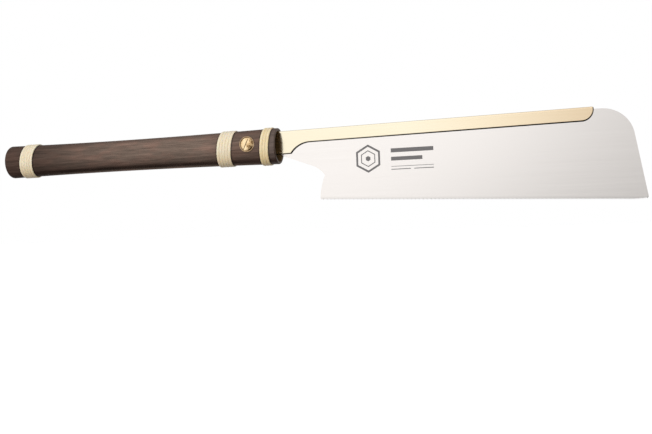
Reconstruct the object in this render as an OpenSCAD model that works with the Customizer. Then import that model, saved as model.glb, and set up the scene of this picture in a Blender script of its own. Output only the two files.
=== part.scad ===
// Japanese pull saw (dozuki): a thin back-stiffened blade clamped in an oval wooden handle.
// Frame: origin at the centre of the handle's mouth, +X along the handle towards the blade's toe,
// +Z up towards the spine (the teeth point down), the blade lies in the plane Y = 0.

/* [Handle] */
// Length of the handle
handle_l = 243; // [220:1:270]
// Height of the oval at the mouth
mouth_h = 28.4; // [27.6:0.1:30]
// Height of the oval at the waist
waist_h = 25.4; // [24.8:0.1:27]
// Height of the oval at the butt
butt_h = 27.4; // [26.4:0.1:29]
// Distance from the mouth to the waist
waist_from_mouth = 139; // [125:1:150]
// Depth of the oval divided by its height
oval_ratio = 0.84; // [0.83:0.01:0.88]
// Radius on the edge of the butt
butt_round = 3.4; // [2:0.1:4.5]
// Radius on the outer edge of the mouth
mouth_round = 1.5; // [0.8:0.1:1.6]
// Width of the glue line between the two halves
glue_line = 0.02; // [0.01:0.01:0.05]

/* [Hollow] */
// Height of the oval hollow
hollow_h = 24.1; // [24:0.1:24.6]
// Depth of the hollow divided by its height
hollow_ratio = 0.82; // [0.8:0.01:0.82]
// Length of the hollow
hollow_l = 46; // [44:1:60]
// How far the cheeks sit back from the mouth
cheek_setback = 13; // [11:0.5:15]
// Gap around a glued or seated piece
seat_gap = 0.05; // [0.02:0.01:0.1]

/* [Rattan] */
// Width of one strand
strand_w = 2.36; // [2.2:0.02:2.6]
// Thickness of one strand
strand_t = 1.3; // [1.1:0.1:1.5]
// How far a wrap stands proud of the wood
wrap_proud = 0.95; // [0.7:0.05:1]
// Turns in the wrap at the mouth
front_turns = 3; // [2:1:3]
// Turns in the wrap behind the bolt
middle_turns = 5; // [3:1:6]
// Turns in the wrap at the butt
butt_turns = 5; // [3:1:6]
// Distance from the mouth to the centre of the front wrap
front_wrap_x = 8.7; // [8:0.1:10]
// Distance from the mouth to the centre of the middle wrap
middle_wrap_x = 42.3; // [40:0.1:50]
// Distance from the mouth to the centre of the butt wrap
butt_wrap_x = 221.3; // [200:0.1:226]

/* [Spine] */
// Thickness of the folded brass spine
spine_t = 2.8; // [2.4:0.1:3]
// Height of the spine
spine_h = 10.3; // [9:0.1:10.5]
// Where the spine ends, from the mouth
spine_end_x = 237.6; // [220:0.1:240]
// Upward slope of the spine from the handle's axis, in degrees
spine_slope = 0.7; // [0.4:0.1:1]
// Height of the spine's top edge above the handle's axis at the mouth
spine_top = 11.5; // [11:0.1:11.6]
// Height of the neck and tang
neck_h = 18.3; // [17:0.1:19]
// Where the neck has narrowed to the spine, from the mouth
neck_end_x = 25.5; // [23:0.5:28]
// Radius of the sweep from the neck to the spine
neck_sweep_r = 19.3; // [17:0.1:20]
// Radius of the spine's lower end corner
spine_end_r = 8.6; // [6:0.1:9]
// Length of the tang inside the handle
tang_l = 38; // [34:0.5:40]
// Metal above the blade's top edge in the fold
fold_over = 1.7; // [1.5:0.1:2]

/* [Blade] */
// Thickness of the blade
blade_t = 0.3; // [0.25:0.01:0.4]
// Thickness of the strip that the spine grips
gripped_t = 0.26; // [0.2:0.01:0.26]
// Width of the slit in the spine
slit_w = 0.3; // [0.3:0.01:0.32]
// Length of the toothed edge
tooth_line_l = 240; // [230:1:250]
// Distance of the first tooth from the mouth
heel_x = 32.3; // [30:0.1:34]
// Depth of the first tooth below the handle's axis
heel_z = 43.5; // [39:0.1:46]
// Downward slope of the toothed edge, in degrees
tooth_line_slope = 2.36; // [1.5:0.01:3]
// Lean of the toe from the vertical, in degrees
toe_lean = 9.3; // [6:0.1:12]
// Radius of the toe's upper corner
toe_r = 22.5; // [15:0.1:24]
// Downward slope of the heel's upper edge, in degrees
heel_edge_slope = 20.4; // [18:0.1:22]
// Radius of the hollow sweep into the notch behind the heel
notch_r = 20.8; // [19:0.1:22]
// Radius of the bulged edge from the notch down to the first tooth
chin_r = 44.6; // [36:0.1:46]
// Distance from one tooth to the next
tooth_pitch = 1.5; // [1:0.5:2]
// Depth of a tooth
tooth_depth = 1; // [0.6:0.1:1.2]
// How far the toothed edge lifts at the toe
toe_lift = 0.8; // [0.2:0.1:1.2]
// Length over which the toothed edge lifts
toe_lift_l = 9; // [5:0.5:15]

/* [Clamp] */
// Distance from the mouth to the bolt
bolt_from_mouth = 22.8; // [22.5:0.1:24]
// Height of the bolt above the handle's axis
bolt_z = 1.9; // [1.5:0.1:2.3]
// Outside diameter of the bolt's shank
shank_d = 5; // [4.5:0.1:5.2]
// Thread pitch
thread_pitch = 0.8; // [0.7:0.05:1]
// Turns of thread held in the sleeve nut
thread_turns = 7; // [5:1:7]
// Diameter of the heads of the bolt and the nut
head_d = 10.4; // [10:0.1:10.5]
// Outside diameter of the two brass cups
cup_d = 12.4; // [12.3:0.1:12.8]
// Height of a cup
cup_h = 3; // [2.8:0.1:3.2]
// Distance of a cup's rim from the blade's plane
cup_rim_y = 11.9; // [11.8:0.1:12.2]
// Outside diameter of the sleeve nut's barrel
barrel_d = 7.8; // [7.4:0.1:8]
// Width of the driver slots
slot_w = 1.6; // [1.2:0.1:1.8]
// Angle of the bolt's slot from the handle's axis, in degrees
slot_angle = 64; // [0:1:90]

/* [Hidden] */

$fn = 96;
wood = "#4d392f";
rattan = "#e6d3a3";
cheek_wood = "#b8946a";
brass = "#e3c88f";
gold_brass = "#c79a4a";
spring_steel = "#8d9096";
blade_steel = "#dcdddf";

cut = 1;                       // overrun of a cutting tool
steps = 12;                    // points along an outline's curve
span = handle_l;               // larger than any half width
end_trim = 0.05;               // how much of each rounded end its flat face cuts off

tang_gap = 0.1;                // play on each side of the tang
clearance = 0.2;               // play around the bolt's shank
thread_gap = 0.05;             // play in the thread
metal_gap = 0.01;              // between two metal faces that bear on each other
weld = 0.2;                    // how far a shank runs into its head
cup_wall = 0.9;
cup_floor = 0.8;
washer_t = 0.9;
washer_split = 30;             // where the spring washer is split, in degrees
dome_facets = 200;
notch_sweep = 35;              // degrees that the notch's sweep turns through
chin_sweep = 24;               // degrees that the bulged edge turns through
tooth_lead = 0.35;             // where a tooth's tip stands along its pitch
slit_play = 0.1;               // gap round the blade's top edge inside the fold
root_x = 1;                    // where the blade starts, from the mouth
notch_x = 26.6;                // where the heel's upper edge turns into the notch, from the mouth
notch_drop = 10.1;             // from the neck's lower edge down to that place
strand_groove = 0.35;          // depth and half width of the groove between two strands
head_edge_t = 1.1;             // thickness of a head at its edge
dome_h = 0.7;                  // crown of a head
slot_depth = 1;
slot_play = 0.3;               // play of the bolt in the tang's slot
cup_floor_y = cup_rim_y - cup_h + cup_floor;
nut_mouth_y = 2.2;             // where the sleeve nut's barrel starts
tip_l = 0.1;                   // shank past the thread
thread_l = thread_pitch * thread_turns;
bolt_tip_y = nut_mouth_y + thread_l + tip_l;
tang_slot_w = shank_d + 2 * slot_play;
spine_bottom = spine_top - spine_h;
neck_bottom = spine_top - neck_h;

// Half height of the handle at a place along it: two parabolas that meet at the waist.
function handle_r(x) =
    let (
        d = x + waist_from_mouth,
        end_h = d > 0 ? mouth_h : butt_h,
        run = d > 0 ? waist_from_mouth : handle_l - waist_from_mouth
    )
    waist_h / 2 + (end_h - waist_h) / 2 * pow(d / run, 2);

// Points on an arc from angle a0 to angle a1.
function arc(centre, r, a0, a1) =
    [for (i = [0 : steps]) let (a = a0 + (a1 - a0) * i / steps) centre + r * [cos(a), sin(a)]];

// A point of the spine's own sloping frame, in the part's frame.
function on_spine(p) =
    [p[0] * cos(spine_slope) - p[1] * sin(spine_slope), p[0] * sin(spine_slope) + p[1] * cos(spine_slope)];

// A place on the line through the tooth tips, s along it from the heel. The line lifts near the toe.
function tip_line(s) =
    let (lift = toe_lift * max(0, 1 - (tooth_line_l - s) / toe_lift_l))
    [heel_x + s * cos(tooth_line_slope), lift - heel_z - s * sin(tooth_line_slope)];

// ---- handle ----

// A round shape about the handle's axis, from points [radius, place along X].
module about_axis(points, ratio) {
    scale([1, ratio, 1]) rotate([0, 90, 0]) rotate_extrude() polygon(points);
}

// The whole handle, with both ends end_trim too long for the flat faces that are cut later.
module handle_body() {
    butt_x = butt_round - handle_l - end_trim;
    mouth_x = end_trim - mouth_round;
    places = 2 * steps;
    grip = [for (i = [1 : places - 1]) let (x = butt_x + (mouth_x - butt_x) * i / places) [handle_r(x), x]];
    butt_arc = arc([handle_r(butt_x) - butt_round, butt_x], butt_round, -90, 0);
    mouth_arc = arc([handle_r(mouth_x) - mouth_round, mouth_x], mouth_round, 0, 90);
    about_axis(concat([[0, butt_x - butt_round]], butt_arc, grip, mouth_arc, [[0, end_trim]]), oval_ratio);
}

// A straight oval bar of half height r.
module oval_core(r, from_x, to_x, ratio) {
    about_axis([[0, from_x], [r, from_x], [r, to_x], [0, to_x]], ratio);
}

// The oval hollow; grow is added to its half height.
module hollow(from_x, to_x, grow = 0) {
    oval_core(hollow_h / 2 + grow, from_x, to_x, hollow_ratio);
}

// An oval of half height r and half depth r * oval_ratio, drawn with four arcs.
module four_arc_oval(r) {
    side = r * oval_ratio;
    end_r = side * oval_ratio;
    side_r = (pow(r - end_r, 2) + pow(side, 2) - pow(end_r, 2)) / (2 * (side - end_r));
    join_y = (r - end_r) * side_r / (side_r - end_r);
    intersection() {
        translate([side_r - side, 0]) circle(r = side_r);
        translate([side - side_r, 0]) circle(r = side_r);
        square([2 * side, 2 * join_y], center = true);
    }
    for (s = [-1, 1]) translate([0, s * (r - end_r)]) circle(r = end_r);
}

// A collar round the handle, w wide, between two half heights.
module collar(centre_x, w, inner_r, outer_r) {
    translate([-centre_x - w / 2, 0, 0]) rotate([90, 0, 90]) linear_extrude(w) difference() {
        four_arc_oval(outer_r);
        four_arc_oval(inner_r);
    }
}

// Half height of the seat that a wrap is wound into.
function seat_r(centre_x) = handle_r(-centre_x) + wrap_proud - strand_t;

module wrap_seat(centre_x, turns) {
    collar(centre_x, turns * strand_w, seat_r(centre_x), mouth_h);
}

// A cylinder across the handle on the bolt's axis, from y0 to y1.
module across(d, y0, y1) {
    translate([-bolt_from_mouth, y0, bolt_z]) rotate([-90, 0, 0]) cylinder(d = d, h = y1 - y0);
}

module handle_half(side) {
    color(wood) difference() {
        intersection() {
            handle_body();
            translate([-handle_l, side > 0 ? glue_line / 2 : -span - glue_line / 2, -span / 2])
                cube([handle_l, span, span]);
        }
        hollow(-hollow_l, cut);
        wrap_seat(front_wrap_x, front_turns);
        wrap_seat(middle_wrap_x, middle_turns);
        wrap_seat(butt_wrap_x, butt_turns);
        across(cup_d + 2 * seat_gap, side > 0 ? 0 : -cup_rim_y - span, side > 0 ? cup_rim_y + span : 0);
    }
}

module handle_near_half() { handle_half(-1); }
module handle_far_half() { handle_half(1); }

// ---- rattan ----

// One wrap: turns of a strand side by side, each with a raised back.
module wrap(centre_x, turns) {
    inner_r = seat_r(centre_x) + seat_gap;
    outer_r = handle_r(-centre_x) + wrap_proud;
    color(rattan) {
        collar(centre_x, turns * strand_w - seat_gap, inner_r, outer_r - strand_groove);
        for (i = [0 : turns - 1])
            collar(centre_x + (i - (turns - 1) / 2) * strand_w, strand_w - 2 * strand_groove,
                inner_r, outer_r);
    }
}

module rattan_front() { wrap(front_wrap_x, front_turns); }
module rattan_middle() { wrap(middle_wrap_x, middle_turns); }
module rattan_butt() { wrap(butt_wrap_x, butt_turns); }

// ---- clamp ----

// A wooden cheek that fills the hollow on one side of the tang.
module clamp_cheek(side) {
    inner_y = spine_t / 2 + tang_gap;
    hole_d = side > 0 ? barrel_d : shank_d;
    color(cheek_wood) difference() {
        intersection() {
            hollow(-hollow_l + seat_gap, -cheek_setback, -seat_gap);
            translate([-span, side > 0 ? inner_y : -inner_y - span, -span / 2]) cube([span, span, span]);
        }
        across(hole_d + 2 * clearance, -span / 2, span / 2);
        across(cup_d + 2 * seat_gap, side > 0 ? cup_rim_y - cup_h - seat_gap : -span,
            side > 0 ? span : -cup_rim_y + cup_h + seat_gap);
    }
}

module clamp_cheek_near() { clamp_cheek(-1); }
module clamp_cheek_far() { clamp_cheek(1); }

// A brass cup that lines the hole in the wood; y runs outwards from the blade's plane.
module cup(hole_d) {
    difference() {
        across(cup_d, cup_rim_y - cup_h, cup_rim_y);
        across(cup_d - 2 * cup_wall, cup_floor_y, cup_rim_y + cut);
        across(hole_d + 2 * clearance, 0, cup_rim_y);
    }
}

// A low domed head with a driver slot, from its seat at y0 outwards.
module head(y0, angle) {
    r = head_d / 2;
    ball_r = (pow(r, 2) + pow(dome_h, 2)) / (2 * dome_h);
    top = y0 + head_edge_t + dome_h;
    translate([-bolt_from_mouth, 0, bolt_z]) rotate([-90, 0, 0]) difference() {
        intersection() {
            translate([0, 0, y0]) cylinder(r = r, h = head_edge_t + dome_h);
            translate([0, 0, top - ball_r]) sphere(r = ball_r, $fn = dome_facets);
        }
        rotate([0, 0, angle]) translate([-head_d, -slot_w / 2, top - slot_depth])
            cube([2 * head_d, slot_w, slot_depth + cut]);
    }
}

// Turns a part drawn on the far side into its twin on the near side.
module near_side() { mirror([0, 1, 0]) children(); }

module bolt_cup() { color(gold_brass) near_side() cup(shank_d); }
module nut_cup() { color(gold_brass) cup(barrel_d); }

module spring_washer() {
    seat_y = cup_floor_y + metal_gap;
    color(spring_steel) near_side() difference() {
        across(head_d - 2 * clearance, seat_y, seat_y + washer_t);
        across(shank_d + 2 * clearance, 0, cup_rim_y);
        translate([-bolt_from_mouth, cup_rim_y - cup_h, bolt_z]) rotate([0, washer_split, 0])
            cube([head_d, cup_h, clearance]);
    }
}

module clamp_bolt() {
    seat_y = cup_floor_y + washer_t + 2 * metal_gap;
    color(gold_brass) near_side() union() {
        head(seat_y, slot_angle);
        across(shank_d, -bolt_tip_y, seat_y + weld);
    }
}

module sleeve_nut() {
    seat_y = cup_floor_y + metal_gap;
    color(gold_brass) difference() {
        union() {
            head(seat_y, 0);
            across(barrel_d, nut_mouth_y, seat_y + weld);
        }
        across(shank_d + 2 * thread_gap, 0, bolt_tip_y + thread_gap + clearance);
    }
}

// ---- spine and blade, drawn as outlines in the X-Z plane ----

// Stands an outline drawn in X and Y up in the X-Z plane, centred on Y = 0.
module plate(t) {
    translate([0, t / 2, 0]) rotate([90, 0, 0]) linear_extrude(t) children();
}

module spine_outline() {
    end_corner = [spine_end_x - spine_end_r, spine_bottom + spine_end_r];
    sweep_centre = [neck_end_x, spine_bottom - neck_sweep_r];
    sweep_start = asin((neck_bottom - sweep_centre[1]) / neck_sweep_r);
    edge = concat(
        [[-tang_l, spine_top], [-tang_l, neck_bottom]],
        arc(sweep_centre, neck_sweep_r, 180 - sweep_start, 90),
        arc(end_corner, spine_end_r, -90, 0),
        [[spine_end_x, spine_top]]
    );
    difference() {
        polygon([for (p = edge) on_spine(p)]);
        translate([-bolt_from_mouth, bolt_z]) circle(d = tang_slot_w);
        translate([-tang_l - cut, bolt_z - tang_slot_w / 2])
            square([tang_l + cut - bolt_from_mouth, tang_slot_w]);
    }
}

// Cross-section of the folded strip, its top at the origin: a round fold over two flat cheeks.
module fold_section(h) {
    r = spine_t / 2;
    translate([0, -r]) circle(r = r);
    translate([-r, -h]) square([spine_t, h - r]);
}

module spine() {
    start_x = -tang_l - cut;
    color(brass) difference() {
        intersection() {
            plate(2 * spine_t) spine_outline();
            rotate([0, -spine_slope, 0]) translate([start_x, 0, spine_top])
                rotate([90, 0, 90]) linear_extrude(spine_end_x + cut - start_x) fold_section(neck_h + cut);
        }
        plate(slit_w) blade_outline(slit_play);
    }
}

// Outline of the blade; grow widens only its hidden top edge.
module blade_outline(grow = 0) {
    into_blade = tooth_depth * [sin(tooth_line_slope), cos(tooth_line_slope)];
    toe = tip_line(tooth_line_l);
    top_start = on_spine([root_x - grow, spine_top - fold_over + grow]);
    top_end = on_spine([spine_end_x, spine_top - fold_over + grow]);
    // the toe's straight edge is tangent to the corner's arc
    corner_z = top_end[1] - toe_r;
    corner_x = toe[0] - (corner_z - toe[1]) * tan(toe_lean) - toe_r / cos(toe_lean);
    notch_start = [notch_x, neck_bottom - notch_drop];
    notch_centre = notch_start - notch_r * [sin(heel_edge_slope), cos(heel_edge_slope)];
    root_z = notch_start[1] + (notch_start[0] - top_start[0]) * tan(heel_edge_slope);
    chin_centre = [heel_x + chin_r, -heel_z];
    teeth = floor(tooth_line_l / tooth_pitch);
    polygon(concat(
        [top_start, [top_start[0], root_z]],
        arc(notch_centre, notch_r, 90 - heel_edge_slope, 90 - heel_edge_slope - notch_sweep),
        arc(chin_centre, chin_r, 180 - chin_sweep, 180),
        [for (i = [0 : teeth - 1]) each [
            tip_line((i + tooth_lead) * tooth_pitch),
            tip_line((i + 1) * tooth_pitch) + into_blade
        ]],
        arc([corner_x, corner_z], toe_r, toe_lean, 90),
        [top_end]
    ));
}

module blade() {
    color(blade_steel) {
        plate(blade_t) difference() { blade_outline(); spine_outline(); }
        plate(gripped_t) intersection() { blade_outline(); spine_outline(); }
    }
}

handle_near_half();
handle_far_half();
rattan_front();
rattan_middle();
rattan_butt();
clamp_cheek_near();
clamp_cheek_far();
bolt_cup();
nut_cup();
spring_washer();
clamp_bolt();
sleeve_nut();
spine();
blade();
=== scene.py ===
"""Looks of the Japanese pull saw, built round its CAD frame. Metres, +X to the toe, +Z to the spine."""
import math
import random

import bmesh
import bpy
from mathutils import Matrix, Vector


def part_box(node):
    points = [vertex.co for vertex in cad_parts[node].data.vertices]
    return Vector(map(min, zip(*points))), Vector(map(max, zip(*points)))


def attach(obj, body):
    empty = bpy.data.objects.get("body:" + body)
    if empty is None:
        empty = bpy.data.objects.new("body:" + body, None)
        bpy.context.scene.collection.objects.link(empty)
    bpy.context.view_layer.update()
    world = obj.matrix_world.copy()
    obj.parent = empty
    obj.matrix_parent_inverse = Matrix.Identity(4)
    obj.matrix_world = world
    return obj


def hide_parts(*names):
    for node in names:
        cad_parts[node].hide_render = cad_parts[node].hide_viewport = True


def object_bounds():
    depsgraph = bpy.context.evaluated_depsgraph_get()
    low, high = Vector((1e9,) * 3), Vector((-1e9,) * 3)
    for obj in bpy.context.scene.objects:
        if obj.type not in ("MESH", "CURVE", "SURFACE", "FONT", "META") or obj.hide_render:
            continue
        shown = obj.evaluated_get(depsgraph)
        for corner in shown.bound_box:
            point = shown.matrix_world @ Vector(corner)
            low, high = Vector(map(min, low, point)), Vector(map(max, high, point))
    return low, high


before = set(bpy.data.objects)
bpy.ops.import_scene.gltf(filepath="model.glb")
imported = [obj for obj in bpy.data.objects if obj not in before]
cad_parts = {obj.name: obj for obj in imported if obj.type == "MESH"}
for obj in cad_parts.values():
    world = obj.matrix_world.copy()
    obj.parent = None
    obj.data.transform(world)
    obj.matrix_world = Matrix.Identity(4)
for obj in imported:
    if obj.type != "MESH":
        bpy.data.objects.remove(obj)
cad_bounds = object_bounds()

MM = 0.001
TAU = 2 * math.pi
OVAL_POINTS = 128           # points round an oval section
TURNED_POINTS = 96          # points round a turned part
OUTSIDE_STEPS = 150         # along the handle
HOLLOW_STEPS = 12
DOME_STEPS = 14             # over a domed head
NEAR_AXIS = 0.02 * MM       # the innermost ring of the handle's ends
rnd = random.Random(7)


# ---------------------------------------------------------------- mesh helpers

def new_object(name, verts, faces, material):
    mesh = bpy.data.meshes.new(name)
    mesh.from_pydata([tuple(v) for v in verts], [], faces)
    mesh.validate()
    mesh.materials.append(material)
    obj = bpy.data.objects.new(name, mesh)
    bpy.context.scene.collection.objects.link(obj)
    return obj


def close_mesh(obj):
    """Merges doubled points, turns every face outwards and shades the piece smooth."""
    bm = bmesh.new()
    bm.from_mesh(obj.data)
    bmesh.ops.remove_doubles(bm, verts=bm.verts, dist=1e-7)
    bmesh.ops.recalc_face_normals(bm, faces=bm.faces)
    for face in bm.faces:
        face.smooth = True
    bm.to_mesh(obj.data)
    bm.free()
    return obj


def sharpen(obj, degrees):
    """Keeps edges sharper than this angle crisp under smooth shading."""
    bm = bmesh.new()
    bm.from_mesh(obj.data)
    for edge in bm.edges:
        if len(edge.link_faces) == 2:
            edge.smooth = edge.calc_face_angle() < math.radians(degrees)
    bm.to_mesh(obj.data)
    bm.free()
    return obj


def apply_modifiers(obj):
    graph = bpy.context.evaluated_depsgraph_get()
    mesh = bpy.data.meshes.new_from_object(obj.evaluated_get(graph))
    obj.modifiers.clear()
    obj.data = mesh
    return obj


def flat_faces_stay_flat(obj):
    """Weights the shading by face area, so that small faces don't bend a wide flat one."""
    mod = obj.modifiers.new("weighted", "WEIGHTED_NORMAL")
    mod.mode = "FACE_AREA"
    mod.weight = 100
    mod.keep_sharp = True
    return apply_modifiers(obj)


def cut_away(obj, cutter):
    mod = obj.modifiers.new("bool", "BOOLEAN")
    mod.operation = "DIFFERENCE"
    mod.solver = "EXACT"
    mod.object = cutter
    bpy.context.view_layer.update()
    apply_modifiers(obj)
    bpy.data.objects.remove(cutter)
    return obj


def rings_mesh(name, rings, material, closed=False):
    """Skins a list of rings, each with the same number of points. Open ends get a cap."""
    count = len(rings[0])
    verts = [p for ring in rings for p in ring]
    faces = []
    last = len(rings) if closed else len(rings) - 1
    for i in range(last):
        a = i * count
        b = ((i + 1) % len(rings)) * count
        for k in range(count):
            m = (k + 1) % count
            faces.append((a + k, a + m, b + m, b + k))
    if not closed:
        faces.append(tuple(reversed(range(count))))
        faces.append(tuple(range(len(verts) - count, len(verts))))
    return close_mesh(new_object(name, verts, faces, material))


def oval_ring(x, r, ratio):
    out = []
    for k in range(OVAL_POINTS):
        a = TAU * k / OVAL_POINTS
        out.append((x, r * ratio * math.cos(a), r * math.sin(a)))
    return out


def bolt_ring(r, y, count):
    """A circle round the bolt's axis, y across the saw."""
    out = []
    for k in range(count):
        a = TAU * k / count
        out.append((BOLT_X + r * math.cos(a), y, BOLT_Z + r * math.sin(a)))
    return out


def arc_points(cx, cy, r, a0, a1, steps):
    out = []
    for i in range(steps + 1):
        a = math.radians(a0 + (a1 - a0) * i / steps)
        out.append((cx + r * math.cos(a), cy + r * math.sin(a)))
    return out


def extrude_outline(name, outline, half_t, material):
    """A flat plate from an outline of (x, z) points, centred on Y = 0."""
    count = len(outline)
    near = [(x, -half_t, z) for x, z in outline]
    far = [(x, half_t, z) for x, z in outline]
    faces = [tuple(range(count)), tuple(reversed(range(count, 2 * count)))]
    for k in range(count):
        m = (k + 1) % count
        faces.append((k, k + count, m + count, m))
    return close_mesh(new_object(name, near + far, faces, material))


def take_place(obj, body, slot, *nodes):
    """Puts a finished piece on its body in place of these CAD nodes."""
    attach(obj, body)
    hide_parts(*nodes)
    return obj


# ---------------------------------------------------------------- sizes

HANDLE_L = -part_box("handle_near_half")[0].x
OVAL = 0.84                         # depth of the handle's oval over its height
WAIST_X = -139 * MM
WAIST_R = 12.7 * MM
MOUTH_R = 14.2 * MM
BUTT_R = 13.7 * MM
GRIP_R = 14 * MM                    # half height of the handle at its wraps
HOLLOW_R = 12.05 * MM               # half height of the hollow
HOLLOW_OVAL = 0.82
HOLLOW_L = 46 * MM

STRAND_W = 2.36 * MM                # width of one turn of rattan
STRAND_H = 1.25 * MM
# how far the top of each wrap leans to the mouth
WRAP_LEAN = {"rattan_front": 2.3 * MM, "rattan_middle": 3.0 * MM, "rattan_butt": 3.1 * MM}

cup_lo, cup_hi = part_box("bolt_cup")
BOLT_X = (cup_lo.x + cup_hi.x) / 2
BOLT_Z = (cup_lo.z + cup_hi.z) / 2
CUP_R = (cup_hi.x - cup_lo.x) / 2
CUP_RIM_Y = -cup_lo.y
CUP_H = 3.0 * MM
CUP_DEPTH = 2.2 * MM
CUP_WALL = 0.9 * MM
BOLT_HOLE_R = 2.7 * MM              # in the near cup's floor
NUT_HOLE_R = 4.1 * MM               # in the far cup's floor
HEAD_H = 1.8 * MM                   # of the bolt and the nut, dome included
HEAD_EDGE = 1.1 * MM
HEAD_DOME = 0.7 * MM
SLOT_ANGLE = 64                     # degrees between the bolt's slot and the handle
SHANK_R = 2.5 * MM
THREAD_PITCH = 0.8 * MM
THREAD_L = 5.8 * MM
THREAD_DEPTH = 0.42 * MM
THREAD_STEPS = 72
NUT_BARREL_R = 3.9 * MM
NUT_BORE_R = 2.55 * MM
NUT_BORE_L = 6.0 * MM

SPINE_SLOPE = math.radians(0.7)
SPINE_TOP = 11.5 * MM
SPINE_H = 10.3 * MM
SPINE_END_X = 237.6 * MM
NECK_BOTTOM = SPINE_TOP - 18.3 * MM
TANG_X = -38 * MM
TANG_SLOT_R = 2.8 * MM
SPINE_T = 2.8 * MM
SLIT = 0.3 * MM                     # in the fold, for the blade

BLADE_T = 0.3 * MM
BLADE_TOP = SPINE_TOP - 1.7 * MM    # its upper edge, inside the fold
HEEL = (32.3 * MM, -43.5 * MM)      # the first tooth
TOOTH_LINE = 240 * MM
TOOTH_SLOPE = math.radians(2.36)
PITCH = 1.5 * MM
TOOTH_DEPTH = 1.0 * MM
ROOT_DEPTH = 1.8 * MM
TOOTH_SET = 0.07 * MM
TOOTH_BEVEL = 0.22 * MM
TOE_LIFT = 0.8 * MM                 # the tooth line rises by this over the last stretch
TOE_LIFT_L = 9 * MM


# ---------------------------------------------------------------- materials

class Nodes:
    """A short way to write a node material."""

    def __init__(self, name):
        self.mat = bpy.data.materials.new(name)
        self.mat.use_nodes = True
        self.tree = self.mat.node_tree
        self.bsdf = self.tree.nodes["Principled BSDF"]

    @classmethod
    def on(cls, tree):
        """The same helpers for a node tree that is not a material's."""
        obj = cls.__new__(cls)
        obj.tree = tree
        return obj

    def add(self, kind, **values):
        node = self.tree.nodes.new(kind)
        for key, value in values.items():
            setattr(node, key, value)
        return node

    def link(self, a, b):
        self.tree.links.new(a, b)

    def put(self, socket, value):
        if isinstance(value, bpy.types.NodeSocket):
            self.link(value, socket)
        else:
            socket.default_value = value

    def math(self, op, a, b=0.0, c=0.0):
        node = self.add("ShaderNodeMath", operation=op)
        self.put(node.inputs[0], a)
        self.put(node.inputs[1], b)
        self.put(node.inputs[2], c)
        return node.outputs[0]

    def position(self):
        return self.add("ShaderNodeTexCoord").outputs["Object"]

    def axis(self, vector, index):
        node = self.add("ShaderNodeSeparateXYZ")
        self.link(vector, node.inputs[0])
        return node.outputs[index]

    def stretched(self, vector, scale, offset=(0, 0, 0)):
        node = self.add("ShaderNodeMapping")
        self.link(vector, node.inputs["Vector"])
        node.inputs["Scale"].default_value = scale
        node.inputs["Location"].default_value = offset
        return node.outputs[0]

    def noise(self, vector, scale, detail=4.0, rough=0.55, distortion=0.0):
        node = self.add("ShaderNodeTexNoise")
        self.link(vector, node.inputs["Vector"])
        node.inputs["Scale"].default_value = scale
        node.inputs["Detail"].default_value = detail
        node.inputs["Roughness"].default_value = rough
        node.inputs["Distortion"].default_value = distortion
        return node.outputs["Fac"]

    def ramp(self, fac, stops):
        node = self.add("ShaderNodeValToRGB")
        self.put(node.inputs[0], fac)
        ramp = node.color_ramp
        while len(ramp.elements) < len(stops):
            ramp.elements.new(0.5)
        for element, (place, colour) in zip(ramp.elements, stops):
            element.position = place
            element.color = (*colour, 1)
        return node.outputs[0]

    def remap(self, value, a0, a1, b0, b1):
        node = self.add("ShaderNodeMapRange")
        self.put(node.inputs[0], value)
        for index, number in zip((1, 2, 3, 4), (a0, a1, b0, b1)):
            node.inputs[index].default_value = number
        return node.outputs[0]

    def mix(self, fac, a, b, blend="MIX"):
        node = self.add("ShaderNodeMix", data_type="RGBA", blend_type=blend)
        self.put(node.inputs[0], fac)
        self.put(node.inputs[6], a)
        self.put(node.inputs[7], b)
        return node.outputs[2]

    def bump(self, height, strength, distance, normal=None):
        node = self.add("ShaderNodeBump")
        self.put(node.inputs["Height"], height)
        node.inputs["Strength"].default_value = strength
        node.inputs["Distance"].default_value = distance
        if normal is not None:
            self.link(normal, node.inputs["Normal"])
        return node.outputs[0]

    def set(self, **values):
        for key, value in values.items():
            self.put(self.bsdf.inputs[key.replace("_", " ")], value)
        return self.mat

    def layer(self, shader):
        """Lays another shader over the principled one."""
        both = self.add("ShaderNodeAddShader")
        self.link(self.bsdf.outputs[0], both.inputs[0])
        self.link(shader.outputs[0], both.inputs[1])
        self.link(both.outputs[0], self.tree.nodes["Material Output"].inputs["Surface"])
        return self.mat


def along_handle(n, p, stops):
    """A grey factor that changes from the butt (0) to the mouth (1)."""
    place_on_handle = n.remap(n.axis(p, 0), -HANDLE_L, 0.0, 0, 1)
    return n.ramp(place_on_handle, [(place, (v, v, v)) for place, v in stops])


def painted_shade_beside_wraps(n, p):
    """Painted shade: darkens the wood's colour where it meets the edges of the rattan wraps, where shade
    falls against them.
    """
    shade = 1.0
    height = n.math("DIVIDE", n.axis(p, 2), GRIP_R)
    for node, lean in WRAP_LEAN.items():
        lo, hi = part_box(node)
        middle = n.math("ADD", (lo.x + hi.x) / 2, n.math("MULTIPLY", height, lean / 2))
        away = n.math("ABSOLUTE", n.math("SUBTRACT", n.axis(p, 0), middle))
        gap = n.math("SUBTRACT", away, (hi.x - lo.x) / 2)
        shade = n.math("MULTIPLY", shade, n.remap(gap, 0.1 * MM, 1.5 * MM, 0.42, 1.0))
    return shade


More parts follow.
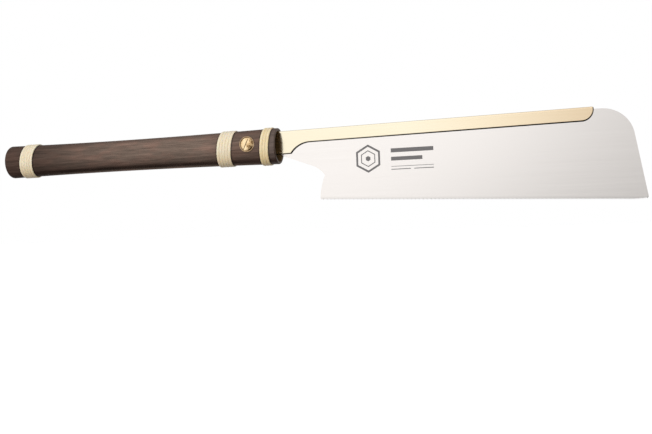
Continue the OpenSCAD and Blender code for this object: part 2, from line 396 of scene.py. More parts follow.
def stained_wood():
    """Dark open-grained stain under a satin oil finish, whose sheen is painted weaker towards the butt
    and the mouth, where the studio's light falls off.
    """
    n = Nodes("stained_wood")
    p = n.position()
    fibre = n.noise(n.stretched(p, (12, 230, 230)), 4, 4, 0.6, 0.25)
    streak = n.noise(n.stretched(p, (11, 170, 170), (3, 1, 2)), 4, 4, 0.6, 0.4)
    mottle = n.noise(n.stretched(p, (26, 60, 60), (7, 5, 1)), 2.4, 3, 0.55)
    pores = n.noise(n.stretched(p, (60, 1100, 1100), (1, 9, 4)), 2, 2, 0.6)
    grain = n.math("ADD", n.math("MULTIPLY", fibre, 0.45), n.math("MULTIPLY", streak, 0.55))
    dark = n.ramp(grain, [(0.34, (0.013, 0.0070, 0.0050)), (0.50, (0.024, 0.0130, 0.0095)),
                          (0.66, (0.040, 0.023, 0.0175))])
    depth = along_handle(n, p, [
        (0.0, 1.7), (0.08, 1.6), (0.13, 1.15), (0.25, 1.05), (0.70, 1.0), (0.85, 1.4), (1.0, 1.8)])
    # painted shade beside the wraps, which darkens both the stain and the sheen
    shade = painted_shade_beside_wraps(n, p)
    base = n.mix(1.0, n.mix(1.0, dark, depth, "MULTIPLY"), shade, "MULTIPLY")
    tint = n.mix(n.remap(mottle, 0.42, 0.62, 0, 1), (0.137, 0.103, 0.082, 1), (0.180, 0.116, 0.090, 1))
    # the band at the mouth reflects cooler
    tint = n.mix(n.remap(n.axis(p, 0), -12 * MM, -9 * MM, 0, 1), tint, (0.152, 0.133, 0.118, 1))
    dull_pores = n.remap(pores, 0.56, 0.72, 1.0, 0.70)
    lustre = n.math("MULTIPLY", n.remap(grain, 0.34, 0.66, 0.70, 1.26), dull_pores)
    # painted light: the sheen is scaled down towards the butt and the mouth, standing in for the
    # reflection falling off there
    painted_sheen_falloff = along_handle(n, p, [
        (0.0, 0.22), (0.13, 0.28), (0.27, 0.64), (0.42, 0.98), (0.60, 1.06), (0.74, 1.10),
        (0.84, 0.78), (0.90, 0.66), (1.0, 0.60)])
    tint = n.mix(1.0, tint, painted_sheen_falloff, "MULTIPLY")
    sheen = n.mix(1.0, tint, n.math("MULTIPLY", lustre, shade), "MULTIPLY")
    finish = n.add("ShaderNodeBsdfGlossy")
    n.put(finish.inputs["Color"], sheen)
    n.put(finish.inputs["Roughness"], n.remap(fibre, 0.3, 0.7, 0.30, 0.20))
    relief = n.bump(pores, 0.18, 0.00005, n.bump(fibre, 0.25, 0.00012))
    n.link(relief, finish.inputs["Normal"])
    n.set(Base_Color=base, Roughness=0.6, Specular_IOR_Level=0.1, Normal=relief)
    return n.layer(finish)


def hollow_wood_painted_shade():
    """The bare wall of the hollow, coloured very dark as painted shade and painted lighter near the
    mouth, where light reaches in.
    """
    n = Nodes("hollow_wood_painted_shade")
    p = n.position()
    fibre = n.noise(n.stretched(p, (20, 240, 240)), 6, 5, 0.6)
    # painted shade: the hollow's wall is given a very dark colour
    colour = n.ramp(fibre, [(0.3, (0.038, 0.021, 0.007)), (0.7, (0.105, 0.066, 0.024))])
    # painted light: the colour brightens towards the mouth
    painted_light_near_mouth = n.remap(n.axis(p, 0), -9 * MM, -1 * MM, 1.0, 2.6)
    colour = n.mix(1.0, colour, painted_light_near_mouth, "MULTIPLY")
    return n.set(Base_Color=colour, Roughness=0.75, Normal=n.bump(fibre, 0.4, 0.0002))


def cheek_wood():
    n = Nodes("cheek_wood")
    p = n.position()
    rings = n.noise(n.stretched(p, (30, 260, 90)), 5, 5, 0.6, 0.4)
    colour = n.ramp(rings, [(0.3, (0.16, 0.085, 0.040)), (0.7, (0.34, 0.20, 0.105))])
    return n.set(Base_Color=colour, Roughness=0.62, Normal=n.bump(rings, 0.3, 0.0002))


def rattan():
    """Split cane: u runs along the strand and v across it."""
    n = Nodes("rattan")
    uv = n.add("ShaderNodeTexCoord").outputs["UV"]
    fibre = n.noise(n.stretched(uv, (40, 9, 1)), 1.0, 4, 0.6)
    patch = n.noise(n.stretched(uv, (160, 1.2, 1), (4, 2, 0)), 1.0, 3, 0.6)
    colour = n.ramp(fibre, [
        (0.28, (0.73, 0.59, 0.39)), (0.46, (0.88, 0.765, 0.56)), (0.70, (0.95, 0.87, 0.68))])
    toned = n.mix(n.remap(patch, 0.5, 0.75, 0, 0.5), colour, (0.74, 0.58, 0.36, 1))
    # the wrap at the mouth has aged a little yellower
    aged = n.remap(n.axis(n.position(), 0), -0.036, -0.026, 0, 1)
    toned = n.mix(aged, toned, n.mix(1.0, toned, (1.0, 0.945, 0.81, 1), "MULTIPLY"))
    # painted shade: the underside is coloured warmer, standing in for the warm shade beneath the handle
    under = n.remap(n.axis(n.position(), 2), -9 * MM, -3 * MM, 1, 0)
    toned = n.mix(under, toned, n.mix(1.0, toned, (1.03, 0.965, 0.87, 1), "MULTIPLY"))
    lines = n.bump(fibre, 0.35, 0.00008)
    return n.set(Base_Color=toned, Roughness=0.36, Normal=lines, Coat_Weight=0.15, Coat_Roughness=0.22,
                 Subsurface_Weight=0.08, Subsurface_Radius=(0.0012, 0.0008, 0.0004))


def lengthwise_brush(n, p, fine, coarse):
    a = n.noise(n.stretched(p, (4, 1, fine)), 4, 5, 0.7)
    b = n.noise(n.stretched(p, (1.5, 1, coarse), (2, 0, 5)), 4, 3, 0.6)
    return n.math("ADD", n.math("MULTIPLY", a, 0.6), n.math("MULTIPLY", b, 0.4))


def spine_brass():
    n = Nodes("spine_brass")
    p = n.position()
    brush = lengthwise_brush(n, p, 900, 160)
    deep = n.ramp(brush, [(0.35, (0.88, 0.69, 0.455)), (0.65, (0.95, 0.765, 0.535))])
    pale = n.ramp(brush, [(0.35, (0.91, 0.820, 0.622)), (0.65, (0.97, 0.884, 0.692))])
    # painted highlight: the brass turns paler towards the handle, standing in for a white haze of
    # reflected light
    brass_with_painted_haze = n.mix(n.remap(n.axis(p, 0), 0.10, 0.235, 1, 0), deep, pale)
    # painted shade: the edges that face down and towards the toe are coloured dark brown, standing in
    # for the dark they reflect
    normal = n.add("ShaderNodeNewGeometry").outputs["Normal"]
    down = n.math("MULTIPLY", n.axis(normal, 2), -1.0)
    turned_away = n.math("MAXIMUM", down, n.math("MULTIPLY", n.axis(normal, 0), 0.7))
    under = n.remap(turned_away, 0.06, 0.45, 0.0, 1.0)
    colour = n.mix(under, brass_with_painted_haze, (0.080, 0.060, 0.038, 1))
    rough = n.remap(brush, 0.35, 0.65, 0.14, 0.20)
    return n.set(Base_Color=colour, Metallic=1.0, Roughness=rough, Normal=n.bump(brush, 0.04, 0.00002))


def blade_mark(n, p):
    """A plain hexagon and bars, etched on the near side: 1 inside the mark and 0 outside."""
    x = n.axis(p, 0)
    z = n.axis(p, 2)

    def bar(x0, x1, z0, z1):
        inside_x = n.math("COMPARE", x, (x0 + x1) / 2 * MM, (x1 - x0) / 2 * MM)
        inside_z = n.math("COMPARE", z, (z0 + z1) / 2 * MM, (z1 - z0) / 2 * MM)
        return n.math("MULTIPLY", inside_x, inside_z)

    def hexagon(cx, cz, r, w):
        dx = n.math("ABSOLUTE", n.math("SUBTRACT", x, cx * MM))
        dz = n.math("ABSOLUTE", n.math("SUBTRACT", z, cz * MM))
        slanted = n.math("ADD", n.math("MULTIPLY", dx, 0.5), n.math("MULTIPLY", dz, 0.866))
        return n.math("COMPARE", n.math("MAXIMUM", dx, slanted), r * MM, w / 2 * MM)

    total = hexagon(71.2, -13.8, 8.6, 1.5)
    shapes = [hexagon(71.2, -13.8, 5.2, 0.7), hexagon(71.2, -13.8, 0.9, 1.8)]
    shapes += [bar(89.0, 121.5, -10.1, -7.0), bar(89.0, 113.0, -16.3, -13.4)]
    shapes += [bar(89.0, 121.5, -20.9, -20.5), bar(89.0, 104.0, -23.2, -22.6)]
    shapes += [bar(106.5, 121.5, -23.2, -22.6)]
    for shape in shapes:
        total = n.math("MAXIMUM", total, shape)
    near = n.math("LESS_THAN", n.axis(p, 1), 0.0)
    return n.math("MULTIPLY", total, near)


def blade_steel():
    n = Nodes("blade_steel")
    p = n.position()
    brush = lengthwise_brush(n, p, 700, 90)
    colour = n.ramp(brush, [(0.34, (0.876, 0.832, 0.800)), (0.66, (0.952, 0.910, 0.878))])
    # the hardened teeth are a little darker than the plate
    tip_z = n.math("SUBTRACT", HEEL[1] + HEEL[0] * math.tan(TOOTH_SLOPE),
                   n.math("MULTIPLY", n.axis(p, 0), math.tan(TOOTH_SLOPE)))
    above = n.math("SUBTRACT", n.axis(p, 2), tip_z)
    hardened = n.remap(above, 0.8 * MM, 2.8 * MM, 0.88, 1.0)
    colour = n.mix(1.0, colour, hardened, "MULTIPLY")
    mark = blade_mark(n, p)
    base = n.mix(mark, colour, (0.21, 0.20, 0.20, 1))
    rough = n.mix(mark, n.remap(brush, 0.3, 0.7, 0.16, 0.26), (0.6, 0.6, 0.6, 1))
    metal = n.math("SUBTRACT", 1.0, n.math("MULTIPLY", mark, 0.75))
    return n.set(Base_Color=base, Metallic=metal, Roughness=rough, Normal=n.bump(brush, 0.035, 0.00002))


def bolt_brass():
    n = Nodes("bolt_brass")
    p = n.position()
    tarnish = n.noise(p, 300, 4, 0.65)
    colour = n.ramp(tarnish, [
        (0.37, (0.30, 0.17, 0.07)), (0.46, (0.78, 0.54, 0.28)), (0.58, (1.0, 0.78, 0.48))])
    rough = n.remap(tarnish, 0.36, 0.62, 0.28, 0.14)
    return n.set(Base_Color=colour, Metallic=1.0, Roughness=rough, Normal=n.bump(tarnish, 0.30, 0.00012))


def cup_brass():
    """The same brass, left duller by handling."""
    n = Nodes("cup_brass")
    p = n.position()
    tarnish = n.noise(p, 500, 4, 0.6)
    colour = n.ramp(tarnish, [(0.3, (0.34, 0.22, 0.12)), (0.7, (0.66, 0.48, 0.30))])
    return n.set(Base_Color=colour, Metallic=1.0, Roughness=0.38, Normal=n.bump(tarnish, 0.12, 0.00006))


def spring_steel():
    n = Nodes("spring_steel")
    tint = n.noise(n.position(), 600, 3, 0.5)
    colour = n.ramp(tint, [(0.3, (0.36, 0.37, 0.39)), (0.7, (0.52, 0.53, 0.55))])
    return n.set(Base_Color=colour, Metallic=1.0, Roughness=0.3)


# ---------------------------------------------------------------- handle

def handle_r(x):
    """Half height of the handle at a place along it."""
    if x > WAIST_X:
        return WAIST_R + (MOUTH_R - WAIST_R) * ((x - WAIST_X) / -WAIST_X) ** 2
    return WAIST_R + (BUTT_R - WAIST_R) * ((WAIST_X - x) / (HANDLE_L + WAIST_X)) ** 2


def handle_profile():
    """(x, radius, ratio) from the centre of the butt, over the outside, and down the hollow."""
    butt_round = 3.4 * MM
    mouth_round = 0.9 * MM
    lip = 0.5 * MM
    trim = 0.05 * MM
    butt_x = -HANDLE_L + butt_round - trim
    mouth_x = trim - mouth_round
    out = [(-HANDLE_L, NEAR_AXIS, OVAL), (-HANDLE_L, 4 * MM, OVAL), (-HANDLE_L, 8 * MM, OVAL)]
    for x, r in arc_points(butt_x, handle_r(butt_x) - butt_round, butt_round, 170, 95, 14):
        out.append((max(x, -HANDLE_L), r, OVAL))
    start = butt_x + 0.3 * MM
    length = mouth_x - 0.2 * MM - start
    for i in range(OUTSIDE_STEPS + 1):
        x = start + length * i / OUTSIDE_STEPS
        out.append((x, handle_r(x), OVAL))
    for x, r in arc_points(mouth_x, handle_r(mouth_x) - mouth_round, mouth_round, 88, 15, 10):
        out.append((min(x, 0.0), r, OVAL))
    for x, r in arc_points(-lip, HOLLOW_R + lip, lip, 0, -90, 6):
        out.append((x, r, HOLLOW_OVAL + (OVAL - HOLLOW_OVAL) * (r - HOLLOW_R) / lip))
    for i in range(1, HOLLOW_STEPS + 1):
        out.append((-lip - (HOLLOW_L - lip) * i / HOLLOW_STEPS, HOLLOW_R, HOLLOW_OVAL))
    out.append((-HOLLOW_L, NEAR_AXIS, HOLLOW_OVAL))
    return out


def in_hollow(point):
    """True for a face centre on the wall of the hollow."""
    play = 0.1 * MM
    along = -HOLLOW_L - play < point.x < -2 * play
    return along and math.hypot(point.y / HOLLOW_OVAL, point.z) < HOLLOW_R + play


def build_handle(wood, inner):
    rings = [oval_ring(x, r, ratio) for x, r, ratio in handle_profile()]
    obj = rings_mesh("handle_wood", rings, wood)
    obj.data.materials.append(inner)
    for face in obj.data.polygons:
        if in_hollow(face.center):
            face.material_index = 1
    hole_r = CUP_R + 0.03 * MM
    hole = [bolt_ring(hole_r, -20 * MM, TURNED_POINTS), bolt_ring(hole_r, 20 * MM, TURNED_POINTS)]
    cut_away(obj, rings_mesh("cup_hole", hole, wood))
    sharpen(obj, 40)
    return take_place(obj, "handle", "stained_wood", "handle_near_half", "handle_far_half")


# ---------------------------------------------------------------- rattan

def strand_section():
    """Half-round cross-section of a strand: (across, out), each from 0 to 1 or -0.5 to 0.5."""
    out = [(-0.48, 0.0)]
    for i in range(9):
        a = math.pi * (1 - i / 8)
        out.append((0.495 * math.cos(a), 0.62 + 0.38 * math.sin(a) ** 0.7))
    out.append((0.48, 0.0))
    return out


def eased(share):
    """Starts and ends gently on its way from 0 to 1."""
    return share * share * (3 - 2 * share)


def strand_path(turns):
    """(angle, turn, height) along the strand, which steps to its next turn at the back.

    The height is 0 at the two ends, which are tucked under, and 1 elsewhere.
    """
    cross = 0.6
    spare = 0.15
    start = -spare
    stop = TAU * turns + spare
    out = []
    steps = int(turns * 110)
    for i in range(steps + 1):
        a = start + (stop - start) * i / steps
        nearest = round(a / TAU)
        ahead = min(1.0, max(0.0, (a - nearest * TAU + cross) / (2 * cross)))
        turn = nearest - 1 + eased(ahead)
        begin = min(1.0, (a - start) / cross)
        end = min(1.0, (stop - a) / cross)
        out.append((a, min(max(turn, 0.0), turns - 1.0), eased(min(begin, end))))
    return out


def build_wrap(node, lean, material):
    """One strand wound round the handle; the top of each turn leans to the mouth."""
    lo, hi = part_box(node)
    turns = round((hi.x - lo.x) / STRAND_W)
    width = (hi.x - lo.x) / turns
    top_r = hi.z
    seat = top_r - STRAND_H
    sunk = 0.5 * MM
    section = strand_section()
    rings = []
    wobble = rnd.uniform(0, 10)
    for a, turn, share in strand_path(turns):
        x0 = lo.x + width * (turn + 0.5) + lean / 2 * math.sin(a)
        x0 += 0.06 * MM * math.sin(3.1 * a + wobble)
        ring = []
        for s, h in section:
            w = s * width * (0.30 + 0.70 * share)
            r = seat + (top_r - seat) * h * (0.25 + 0.75 * share) - sunk * (1 - share)
            ring.append((x0 + w, r * OVAL * math.cos(a), r * math.sin(a)))
        rings.append(ring)
    obj = rings_mesh(node + "_strand", rings, material)
    strand_uv(obj, lo.x, width, lean)
    return take_place(obj, "handle", "rattan", node)


def strand_uv(obj, x0, width, lean):
    """u runs round the handle in metres and v across the strand, counted in strands."""
    mean_r = 12.5 * MM
    layer = obj.data.uv_layers.new(name="strand")
    for face in obj.data.polygons:
        base = math.atan2(face.center.z, face.center.y)
        for loop in face.loop_indices:
            co = obj.data.vertices[obj.data.loops[loop].vertex_index].co
            a = math.atan2(co.z, co.y)
            if a - base > math.pi:
                a -= TAU
            if base - a > math.pi:
                a += TAU
            layer.data[loop].uv = (a * mean_r, (co.x - x0 - lean / 2 * math.sin(a)) / width)


# ---------------------------------------------------------------- clamp

# profiles are (radius, distance from the blade's plane) points on the bolt's axis

def cup_profile(hole_r):
    """Closed cross-section of a cup, its lip rounded."""
    floor = CUP_RIM_Y - CUP_DEPTH
    back = CUP_RIM_Y - CUP_H
    inner_r = CUP_R - CUP_WALL
    lip = 0.32 * MM
    edge = 0.1 * MM
    foot = 0.15 * MM
    out = [(hole_r, back), (CUP_R - edge, back), (CUP_R, back + edge)]
    out += arc_points(CUP_R - lip, CUP_RIM_Y - lip, lip, 0, 90, 6)
    out += arc_points(inner_r + lip, CUP_RIM_Y - lip, lip, 90, 180, 6)
    out += [(inner_r, floor + foot), (inner_r - foot, floor), (hole_r, floor)]
    return out


def build_cup(node, side, hole_r, material):
    rings = [bolt_ring(r, side * y, TURNED_POINTS) for r, y in cup_profile(hole_r)]
    obj = rings_mesh(node + "_turned", rings, material, closed=True)
    sharpen(obj, 40)
    return take_place(obj, "handle", "cup_brass", node)


def head_profile(r, top):
    """Half section of a domed head, from its rim up to the middle of the dome."""
    ball = (r * r + HEAD_DOME * HEAD_DOME) / (2 * HEAD_DOME)
    soft = 0.40 * MM
    edge = 0.1 * MM
    base = top - HEAD_EDGE - HEAD_DOME
    out = [(r - edge, base), (r, base + edge)]
    out += arc_points(r - soft, top - HEAD_DOME - soft, soft, 0, 60, 4)
    for i in range(1, DOME_STEPS + 1):
        q = (r - soft) * (1 - i / DOME_STEPS) ** 0.9
        out.append((max(q, 0.01 * MM), top - ball + math.sqrt(ball * ball - q * q)))
    return out


def slot_cutter(angle, top, side, material):
    """A bar that cuts the driver slot, which widens at the top."""
    half_w = 0.8 * MM
    wide = half_w * 1.18
    depth = 1.0 * MM
    outline = [(-half_w, -depth), (half_w, -depth), (wide, 0.05 * MM), (wide, 2 * MM),
               (-wide, 2 * MM), (-wide, 0.05 * MM)]
    a = math.radians(angle)
    along = Vector((math.cos(a), 0, math.sin(a)))
    across = Vector((-math.sin(a), 0, math.cos(a)))
    rings = []
    for end in (-8 * MM, 8 * MM):
        ring = []
        for w, d in outline:
            p = Vector((BOLT_X, side * (top + d), BOLT_Z)) + along * end + across * w
            ring.append(tuple(p))
        rings.append(ring)
    return rings_mesh("slot_cutter", rings, material)


def bolt_profile(tip, seat, head_r):
    """(radius, distance, threaded) from the tip of the bolt to the middle of its head."""
    chamfer = 0.2 * MM
    out = [(0.01 * MM, tip, False), (SHANK_R - 0.5 * MM, tip, False)]
    start = tip + 0.1 * MM
    for i in range(THREAD_STEPS + 1):
        out.append((SHANK_R, start + (tip + THREAD_L - start) * i / THREAD_STEPS, True))
    out += [(SHANK_R, tip + THREAD_L + 0.4 * MM, False), (SHANK_R, seat - chamfer, False)]
    out.append((SHANK_R + chamfer, seat, False))
    return out + [(r, y, False) for r, y in head_profile(head_r, seat + HEAD_H)]


def build_bolt(material):
    """The bolt's head faces -Y. Its thread's depth runs round the shank with the pitch."""
    lo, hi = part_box("clamp_bolt")
    seat = -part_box("spring_washer")[0].y + 0.01 * MM
    tip = -hi.y
    count = 64
    rings = []
    for r, y, cut in bolt_profile(tip, seat, (hi.x - lo.x) / 2):
        ring = []
        for k in range(count):
            phase = ((y - tip) / THREAD_PITCH + k / count) % 1.0
            q = r - (THREAD_DEPTH * abs(2 * phase - 1) if cut else 0.0)
            a = TAU * k / count
            ring.append((BOLT_X + q * math.cos(a), -y, BOLT_Z + q * math.sin(a)))
        rings.append(ring)
    obj = rings_mesh("clamp_bolt_turned", rings, material)
    cut_away(obj, slot_cutter(SLOT_ANGLE, seat + HEAD_H, -1, material))
    sharpen(obj, 32)
    return take_place(obj, "bolt", "bolt_brass", "clamp_bolt")


def build_nut(material):
    lo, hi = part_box("sleeve_nut")
    head_r = (hi.x - lo.x) / 2
    seat = CUP_RIM_Y - CUP_DEPTH + 0.01 * MM
    mouth = lo.y
    chamfer = 0.2 * MM
    profile = [(0.01 * MM, mouth + NUT_BORE_L), (NUT_BORE_R, mouth + NUT_BORE_L)]
    profile += [(NUT_BORE_R, mouth + chamfer), (NUT_BORE_R + chamfer, mouth)]
    profile += [(NUT_BARREL_R - chamfer, mouth), (NUT_BARREL_R, mouth + chamfer)]
    profile += [(NUT_BARREL_R, seat)]
    profile += head_profile(head_r, seat + HEAD_H)
    rings = [bolt_ring(r, y, TURNED_POINTS) for r, y in profile]
    obj = rings_mesh("sleeve_nut_turned", rings, material)
    cut_away(obj, slot_cutter(0, seat + HEAD_H, 1, material))
    sharpen(obj, 32)
    return take_place(obj, "handle", "bolt_brass", "sleeve_nut")


# ---------------------------------------------------------------- spine and blade

def on_spine(x, z):
    """A point of the spine's own sloping frame, in the frame of the whole saw."""
    c = math.cos(SPINE_SLOPE)
    s = math.sin(SPINE_SLOPE)
    return (x * c - z * s, x * s + z * c)


def spine_lower_edge():
    """(x, z) along the lower edge of the neck and spine, from the handle to the end corner."""
    end_r = 8.6 * MM
    bottom = SPINE_TOP - SPINE_H
    sweep_r = 19.3 * MM
    sweep_x = 25.5 * MM
    centre_z = bottom - sweep_r
    start = math.degrees(math.asin((NECK_BOTTOM - centre_z) / sweep_r))
    edge = arc_points(sweep_x, centre_z, sweep_r, 180 - start, 90, 28)
    reach = SPINE_END_X - end_r - sweep_x
    edge += [(sweep_x + reach * i / 40, bottom) for i in range(1, 40)]
    edge += arc_points(SPINE_END_X - end_r, bottom + end_r, end_r, -90, 0, 24)
    return edge


def spine_upper_edge(r_edge, r_fold):
    """((x, z), edge radius) from the end corner back along the fold to the tang's end."""
    corner = 0.35 * MM
    out = [((SPINE_END_X, SPINE_TOP - 1.2 * MM), r_edge)]
    out.append(((SPINE_END_X - corner, SPINE_TOP - corner), 0.6 * MM))
    out.append(((SPINE_END_X - 1.2 * MM, SPINE_TOP), r_edge))
    for i in range(21):
        out.append(((SPINE_END_X - 2.4 * MM - i * 11.8 * MM, SPINE_TOP), r_fold))
    out.append(((TANG_X + 2.0 * MM, SPINE_TOP), r_fold))
    out.append(((TANG_X, SPINE_TOP - 2.0 * MM), r_edge))
    return out


def tang_slot():
    """(x, z) round the open slot that straddles the bolt."""
    end = on_spine(TANG_X, 0)[0]
    out = [(end, BOLT_Z + TANG_SLOT_R)]
    out += arc_points(BOLT_X, BOLT_Z, TANG_SLOT_R, 90, -90, 24)
    out.append((end, BOLT_Z - TANG_SLOT_R))
    return out


def spine_outline():
    """((x, z), edge radius) round the folded strip, anticlockwise seen from -Y."""
    r_edge = 1.0 * MM
    r_fold = SPINE_T / 2 - 0.02 * MM
    lower = [(TANG_X, NECK_BOTTOM), (-0.5 * MM, NECK_BOTTOM), (6 * MM, NECK_BOTTOM)]
    points = [(p, r_edge) for p in lower + spine_lower_edge()]
    points += spine_upper_edge(r_edge, r_fold)
    outline = [(on_spine(*p), r) for p, r in points]
    return outline + [(p, 0.2 * MM) for p in tang_slot()]


def inward_normals(points):
    """The inward direction at each corner of an anticlockwise outline.

    It is longer at a sharper corner, so that the edges move in evenly.
    """
    count = len(points)
    out = []
    for i in range(count):
        ax, az = points[i - 1]
        bx, bz = points[i]
        cx, cz = points[(i + 1) % count]
        e1 = Vector((bx - ax, bz - az)).normalized()
        e2 = Vector((cx - bx, cz - bz)).normalized()
        n1 = Vector((-e1.y, e1.x))
        n2 = Vector((-e2.y, e2.x))
        n = (n1 + n2).normalized()
        out.append(n / max(0.5, n.dot(n1)))
    return out


def rounded_plate(name, outline, half_t, material, steps=6):
    """A plate with rounded edges; each outline point carries its own edge radius."""
    points = [p for p, r in outline]
    radii = [min(r, half_t) for p, r in outline]
    normals = inward_normals(points)
    turns = [(-1, j) for j in range(steps, -1, -1)] + [(1, j) for j in range(steps + 1)]
    rings = []
    for side, j in turns:
        a = math.pi / 2 * j / steps
        ring = []
        for p, n, r in zip(points, normals, radii):
            inset = r * (1 - math.cos(a))
            y = side * (half_t - r * (1 - math.sin(a)))
            ring.append((p[0] + n.x * inset, y, p[1] + n.y * inset))
        rings.append(ring)
    return rings_mesh(name, rings, material)


def build_spine(material):
    obj = rounded_plate("spine_folded", spine_outline(), SPINE_T / 2, material)
    top = SPINE_TOP - 1.6 * MM
    near_x = 0.6 * MM
    far_x = 250 * MM
    corners = ((near_x, -30 * MM), (far_x, -30 * MM), (far_x, top), (near_x, top))
    slit = [on_spine(x, z) for x, z in corners]
    cut_away(obj, extrude_outline("slit", slit, SLIT / 2 + 0.02 * MM, material))
    sharpen(obj, 32)
    flat_faces_stay_flat(obj)
    return take_place(obj, "blade_unit", "spine_brass", "spine")


def tip_line(s):
    """A place on the line through the tooth tips, s along it from the heel."""
    lift = TOE_LIFT * max(0.0, 1 - (TOOTH_LINE - s) / TOE_LIFT_L)
    return (HEEL[0] + s * math.cos(TOOTH_SLOPE), HEEL[1] - s * math.sin(TOOTH_SLOPE) + lift)


def into_blade(p, depth):
    return (p[0] + depth * math.sin(TOOTH_SLOPE), p[1] + depth * math.cos(TOOTH_SLOPE))


def blade_edge():
    """(x, z) from the toe's corner, over the top and down the heel to the first tooth."""
    toe = tip_line(TOOTH_LINE)
    toe_r = 22.5 * MM
    toe_angle = 9.3
    lean = math.radians(toe_angle)
    top_end = on_spine(SPINE_END_X, BLADE_TOP)
    top_start = on_spine(1.0 * MM, BLADE_TOP)
    corner_z = top_end[1] - toe_r
    corner_x = toe[0] - (corner_z - toe[1]) * math.tan(lean) - toe_r / math.cos(lean)
    edge = arc_points(corner_x, corner_z, toe_r, toe_angle, 90, 30)
    edge += [top_end, top_start]
    notch_angle = 20.4
    slope = math.radians(notch_angle)
    notch = (26.6 * MM, -16.9 * MM)
    notch_r = 20.8 * MM
    centre = (notch[0] - notch_r * math.sin(slope), notch[1] - notch_r * math.cos(slope))
    edge.append((top_start[0], notch[1] + (notch[0] - top_start[0]) * math.tan(slope)))
    edge += arc_points(centre[0], centre[1], notch_r, 90 - notch_angle, 34.6, 20)
    chin_r = 44.6 * MM
    edge += arc_points(HEEL[0] + chin_r, HEEL[1], chin_r, 156, 178.5, 20)
    return edge


def point_pair(bm, p, shift=0.0, far_lift=0.0, near_lift=0.0):
    """The same outline point on the blade's near and far face."""
    near = bm.verts.new((p[0], shift - BLADE_T / 2, p[1] + near_lift))
    far = bm.verts.new((p[0], shift + BLADE_T / 2, p[1] + far_lift))
    return near, far


def tooth_tip(bm, i):
    """Every other tooth is bent the other way, and bevelled on its inner side."""
    side = 1 if i % 2 else -1
    far_lift = TOOTH_BEVEL if side < 0 else 0.0
    near_lift = TOOTH_BEVEL if side > 0 else 0.0
    return point_pair(bm, tip_line((i + 0.35) * PITCH), side * TOOTH_SET, far_lift, near_lift)


def both_faces(bm, outline):
    bm.faces.new([v[0] for v in outline])
    bm.faces.new([v[1] for v in reversed(outline)])


def edge_face(bm, a, b):
    bm.faces.new((a[0], b[0], b[1], a[1]))


def blade_mesh():
    teeth = int(TOOTH_LINE / PITCH + 0.5)
    bm = bmesh.new()
    roots = []
    gullets = []
    for i in range(teeth + 1):
        roots.append(point_pair(bm, into_blade(tip_line(i * PITCH), ROOT_DEPTH)))
        gullets.append(point_pair(bm, into_blade(tip_line(i * PITCH), TOOTH_DEPTH)))
    tips = [tooth_tip(bm, i) for i in range(teeth)]
    rim = [point_pair(bm, p) for p in blade_edge()]
    both_faces(bm, [roots[-1]] + rim + roots[:-1])
    for i in range(teeth):
        both_faces(bm, [roots[i], roots[i + 1], gullets[i + 1], tips[i], gullets[i]])
        edge_face(bm, gullets[i], tips[i])
        edge_face(bm, tips[i], gullets[i + 1])
    loop = [gullets[-1], roots[-1]] + rim + [roots[0], gullets[0]]
    for a, b in zip(loop, loop[1:]):
        edge_face(bm, a, b)
    bmesh.ops.recalc_face_normals(bm, faces=bm.faces)
    mesh = bpy.data.meshes.new("blade_toothed")
    bm.to_mesh(mesh)
    bm.free()
    return mesh


def build_blade(material):
    mesh = blade_mesh()
    mesh.materials.append(material)
    obj = bpy.data.objects.new("blade_toothed", mesh)
    bpy.context.scene.collection.objects.link(obj)
    return take_place(obj, "blade_unit", "blade_steel", "blade")


# ---------------------------------------------------------------- pieces carried over from the CAD

def carry_over(node, material):
    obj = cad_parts[node]
    obj.data.materials.clear()
    obj.data.materials.append(material)
    return obj


# ---------------------------------------------------------------- stage

def pale_floor():
    n = Nodes("pale_floor")
    grain = n.noise(n.position(), 3, 2, 0.5)
    base = n.mix(grain, (0.90, 0.90, 0.90, 1), (0.92, 0.92, 0.92, 1))
    return n.set(Base_Color=base, Roughness=0.9, Emission_Color=(1, 1, 1, 1), Emission_Strength=0.62)


def build_floor():
    gap = 90 * MM                   # below the lowest point of the saw
    z = cad_bounds[0].z - gap
    half = 9.0
    verts = [(-half, -half, z), (half, -half, z), (half, half, z), (-half, half, z)]
    floor = new_object("floor", verts, [(0, 1, 2, 3)], pale_floor())
    # only the camera sees the floor, so that it adds no light of its own
    floor.visible_diffuse = False
    floor.visible_glossy = False


PANEL_PEAK = 1.2


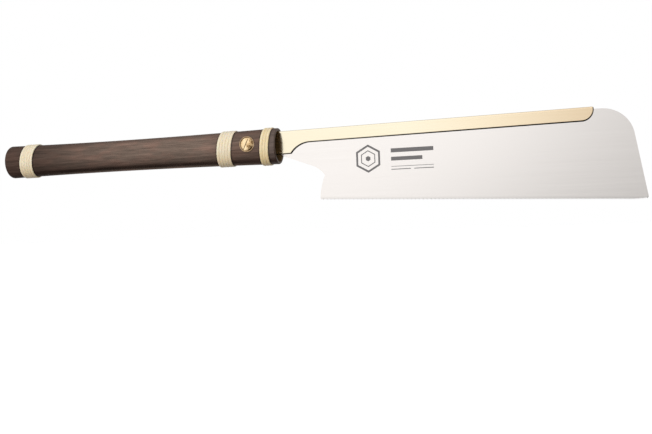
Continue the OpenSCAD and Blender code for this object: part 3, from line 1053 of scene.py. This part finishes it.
def glossy_studio(n, coord):
    """What the metal and the finish reflect.

    A wide soft panel stands in front, which fades to the right and below.
    """
    x = n.axis(coord, 0)
    y = n.axis(coord, 1)
    z = n.axis(coord, 2)
    low = n.math("MINIMUM", n.math("MAXIMUM", n.math("SUBTRACT", 0.06, z), 0.0), 0.1)
    across = n.remap(n.math("ADD", x, n.math("MULTIPLY", low, 2.2)), -0.5, 0.3, 0, 1)
    # a ramp can't go above 1, so it holds the panel's light divided by its peak
    side = n.ramp(across, [(place, (v / PANEL_PEAK,) * 3) for place, v in (
        (0.0, 1.08), (0.26, 1.11), (0.38, 1.15), (0.47, 1.15), (0.54, 1.12),
        (0.59, 0.98), (0.63, 0.905), (0.675, 0.855), (0.75, 0.66), (1.0, 0.58))])
    behind = n.remap(y, -0.2, 0.2, 0, 1)
    side = n.mix(1.0, side, (PANEL_PEAK, PANEL_PEAK, PANEL_PEAK, 1), "MULTIPLY")
    side = n.mix(behind, side, (1, 1, 1, 1))
    angle = n.math("ARCTAN2", z, n.math("MULTIPLY", y, -1.0))
    turn = n.remap(angle, -math.pi, math.pi, 0, 1)
    height = n.ramp(turn, [(0.5 + degrees / 360, (v, v, v)) for degrees, v in (
        (-180, 0.80), (-155, 0.66), (-130, 0.42), (-114, 0.05), (-98, 0.0), (-82, 0.03),
        (-68, 0.36), (-35, 0.58), (-10, 0.86), (0, 0.95), (8, 1.0), (74, 1.0),
        (100, 0.80), (122, 0.50), (145, 0.65), (180, 0.80))])
    # an unlit corner in front, low on the right, which only rounded parts reflect
    right = n.remap(x, -0.24, -0.08, 0, 1)
    below = n.remap(z, -0.11, -0.22, 0, 1)
    front = n.remap(y, -0.70, -0.45, 1, 0)
    share = n.math("MULTIPLY", front, n.math("MULTIPLY", right, below))
    corner = n.remap(share, 0.0, 1.0, 1.0, 0.12)
    return n.mix(1.0, n.mix(1.0, side, height, "MULTIPLY"), corner, "MULTIPLY")


def build_world():
    """White to the camera, a soft studio to what reflects and dim light to matt surfaces."""
    world = bpy.data.worlds.new("studio")
    bpy.context.scene.world = world
    world.use_nodes = True
    n = Nodes.on(world.node_tree)
    coord = n.add("ShaderNodeTexCoord").outputs["Generated"]
    back = n.remap(n.axis(coord, 1), 0.0, 0.6, 0.20, 0.75)
    path = n.add("ShaderNodeLightPath")
    seen = n.mix(path.outputs["Is Diffuse Ray"], glossy_studio(n, coord), back)
    seen = n.mix(path.outputs["Is Camera Ray"], seen, (1, 1, 1, 1))
    n.link(seen, world.node_tree.nodes["Background"].inputs["Color"])


def area_light(name, place, target, size, power):
    data = bpy.data.lights.new(name, "AREA")
    data.shape = "DISK"
    data.size = size
    data.energy = power
    obj = bpy.data.objects.new(name, data)
    bpy.context.scene.collection.objects.link(obj)
    obj.location = place
    obj.rotation_euler = (Vector(target) - Vector(place)).to_track_quat("-Z", "Y").to_euler()
    return obj


def build_lights():
    """One soft key in front and a little above. The world's panel stands for it in reflections."""
    key = area_light("key", (-0.10, -0.95, 0.30), (-0.06, 0, 0), 0.40, 7.7)
    key.visible_glossy = False


def build_camera():
    """The camera stands 0.67 m from the saw, a little below it and towards the toe."""
    data = bpy.data.cameras.new("camera")
    data.lens = 50
    data.sensor_width = 36
    data.clip_start = 0.01
    obj = bpy.data.objects.new("camera", data)
    bpy.context.scene.collection.objects.link(obj)
    forward = Vector((-0.27544772, 0.9612617, 0.01022282)).normalized()
    right = forward.cross(Vector((0.03708794, 0, 0.99931201))).normalized()
    up = right.cross(forward)
    turn = Matrix((right, up, -forward)).transposed().to_4x4()
    turn.translation = Vector((0.22907182, -0.6735662, -0.06423679))
    obj.matrix_world = turn
    bpy.context.scene.camera = obj


def build():
    brass = bolt_brass()
    build_handle(stained_wood(), hollow_wood_painted_shade())
    cane = rattan()
    for node, lean in WRAP_LEAN.items():
        build_wrap(node, lean, cane)
    dull = cup_brass()
    build_cup("bolt_cup", -1, BOLT_HOLE_R, dull)
    build_cup("nut_cup", 1, NUT_HOLE_R, dull)
    build_bolt(brass)
    build_nut(brass)
    build_spine(spine_brass())
    build_blade(blade_steel())
    cheek = cheek_wood()
    carry_over("clamp_cheek_near", cheek)
    carry_over("clamp_cheek_far", cheek)
    carry_over("spring_washer", spring_steel())


build()
build_floor()
build_world()
build_lights()
build_camera()
bpy.context.scene.view_settings.view_transform = "Standard"
